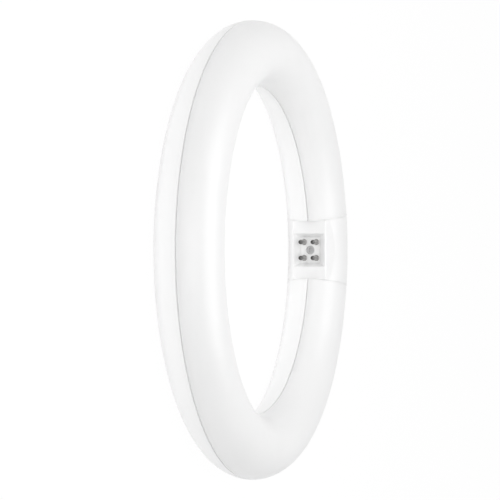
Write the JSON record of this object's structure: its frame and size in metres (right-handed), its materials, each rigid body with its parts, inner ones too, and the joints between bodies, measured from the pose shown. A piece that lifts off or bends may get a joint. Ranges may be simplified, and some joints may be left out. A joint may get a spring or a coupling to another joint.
{
  "type": "circular led tube",
  "caption": "Ring-shaped LED tube lamp: an opal front half, a white rear half, and a base with contact pins set into the inside of the ring.",
  "frame": {"origin": "centre of the ring, halfway up the tube", "axes": "+Z along the ring's axis, to the side that the light leaves; +X towards the base"},
  "size_m": [0.2111, 0.211, 0.0298],
  "materials": {
    "opal": "opal polycarbonate with a satin gloss",
    "housing": "white polycarbonate, smooth",
    "base": "white polycarbonate, smooth",
    "plate": "white-grey moulded insulator",
    "pin": "nickel-plated brass, turned",
    "led_board": "white solder mask on aluminium",
    "led_chip": "yellow phosphor in a white package",
    "board_link": "white moulded bridge",
    "driver_board": "green circuit board",
    "capacitor_sleeve": "dark heat-shrink sleeve",
    "choke": "ferrite drum",
    "film_capacitor": "dipped resin",
    "chip_body": "black moulding compound",
    "fuse": "ceramic body",
    "lead_white": "white insulation",
    "lead_red": "red insulation",
    "lead_black": "black insulation"
  },
  "bodies": {
    "root": {"rear_housing": "housing", "front_diffuser": "opal", "base_body": "base", "pin_plate": "plate", "driver_board": "driver_board", "smoothing_capacitor": "capacitor_sleeve", "choke": "choke", "film_capacitor": "film_capacitor", "fuse": "fuse", "bridge_rectifier": "chip_body", "driver_chip": "chip_body", "output_lead_positive": "lead_red", "output_lead_negative": "lead_black", "led_board_1": "led_board", "led_chips_1": "led_chip", "contact_pin_1": "pin", "input_lead_1": "lead_white", "led_board_2": "led_board", "led_chips_2": "led_chip", "contact_pin_2": "pin", "input_lead_2": "lead_white", "led_board_3": "led_board", "led_chips_3": "led_chip", "contact_pin_3": "pin", "input_lead_3": "lead_white", "led_board_4": "led_board", "led_chips_4": "led_chip", "contact_pin_4": "pin", "input_lead_4": "lead_white", "board_link_1": "board_link", "board_link_2": "board_link", "board_link_3": "board_link"}
  },
  "joints": []
}
